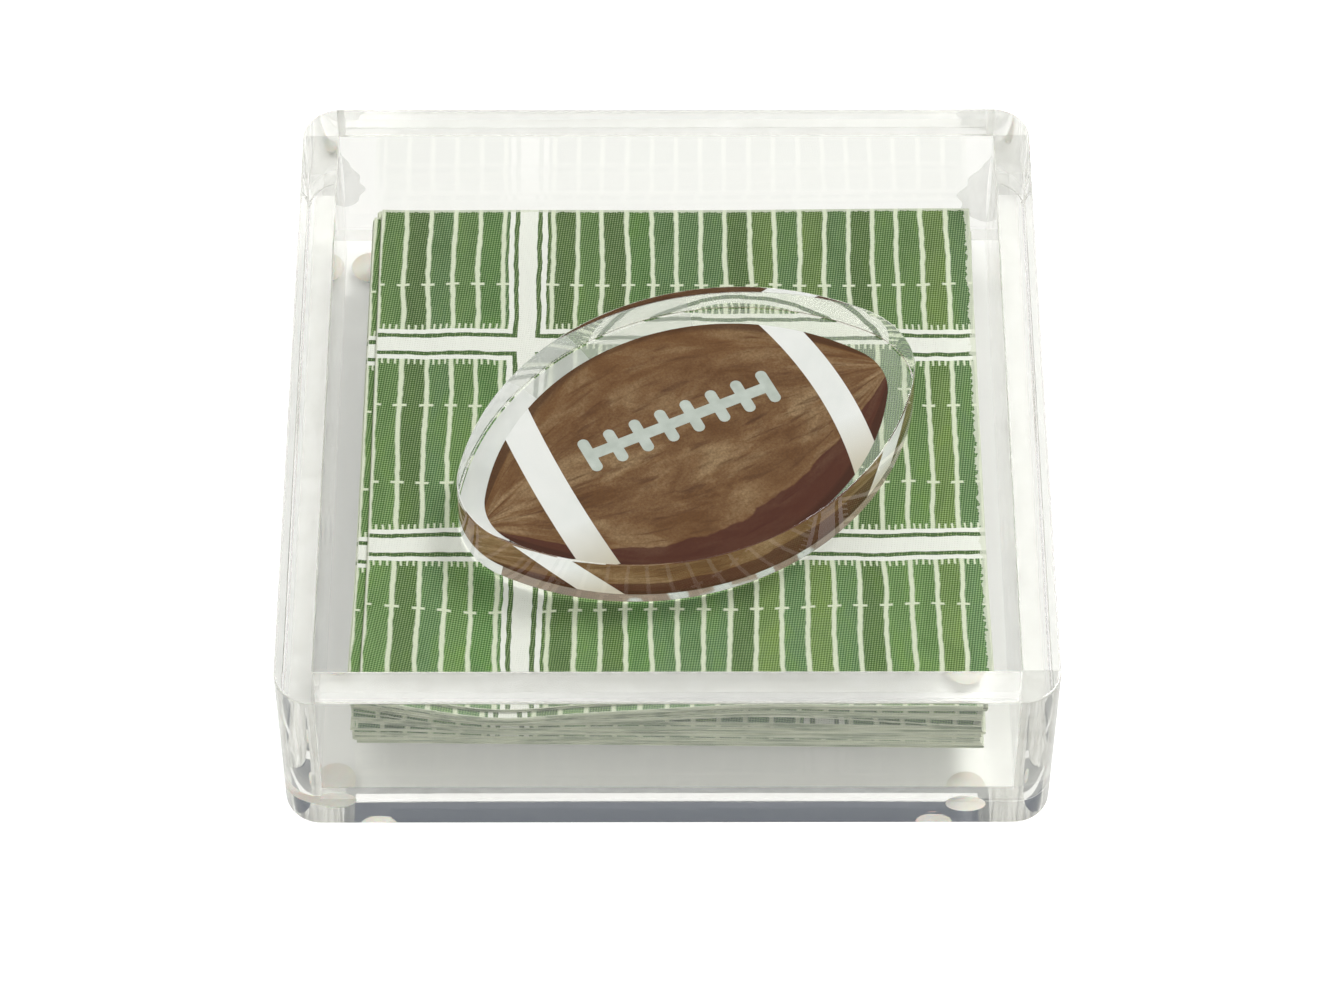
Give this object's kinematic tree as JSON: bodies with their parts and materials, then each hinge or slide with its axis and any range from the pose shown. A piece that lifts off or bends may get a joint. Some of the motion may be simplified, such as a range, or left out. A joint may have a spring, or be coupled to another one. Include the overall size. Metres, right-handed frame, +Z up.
{
  "type": "napkin tray with weight",
  "caption": "Open square clear acrylic tray holding a stack of folded printed paper napkins under a loose football-shaped clear weight.",
  "frame": {"origin": "centre of the plane that the four feet stand on", "axes": "+Z up; the front is towards -Y, where the finger gap is wider; +X to the right"},
  "size_m": [0.1524, 0.1524, 0.044],
  "materials": {
    "clear_acrylic": "polished clear acrylic",
    "clear_silicone": "clear soft bumper, slightly yellowed",
    "brown_ink": "printed ink seen through acrylic",
    "white_ink": "printed ink seen through acrylic",
    "printed_tissue": "soft embossed tissue printed green and cream"
  },
  "bodies": {
    "tray": {"base_panel": "clear_acrylic", "front_wall": "clear_acrylic", "back_wall": "clear_acrylic", "left_wall": "clear_acrylic", "right_wall": "clear_acrylic", "foot_front_left": "clear_silicone", "foot_front_right": "clear_silicone", "foot_back_left": "clear_silicone", "foot_back_right": "clear_silicone"},
    "napkin_stack": {"napkin_01": "printed_tissue", "napkin_02": "printed_tissue", "napkin_03": "printed_tissue", "napkin_04": "printed_tissue", "napkin_05": "printed_tissue", "napkin_06": "printed_tissue", "napkin_07": "printed_tissue", "napkin_08": "printed_tissue", "napkin_09": "printed_tissue", "napkin_10": "printed_tissue", "napkin_11": "printed_tissue", "napkin_12": "printed_tissue", "napkin_13": "printed_tissue", "napkin_14": "printed_tissue"},
    "top_napkin": {"napkin_15": "printed_tissue"},
    "football_weight": {"weight_slab": "clear_acrylic", "brown_print": "brown_ink", "white_print": "white_ink"}
  },
  "joints": [
    {"name": "stack_lift", "type": "slide", "parent": "tray", "child": "napkin_stack", "axis": [0, 0, 1], "range_m": [0, 0.05]},
    {"name": "top_napkin_lift", "type": "slide", "parent": "napkin_stack", "child": "top_napkin", "axis": [0, 0, 1], "range_m": [0, 0.05]},
    {"name": "weight_lift", "type": "slide", "parent": "top_napkin", "child": "football_weight", "axis": [0, 0, 1], "range_m": [0, 0.05]}
  ]
}
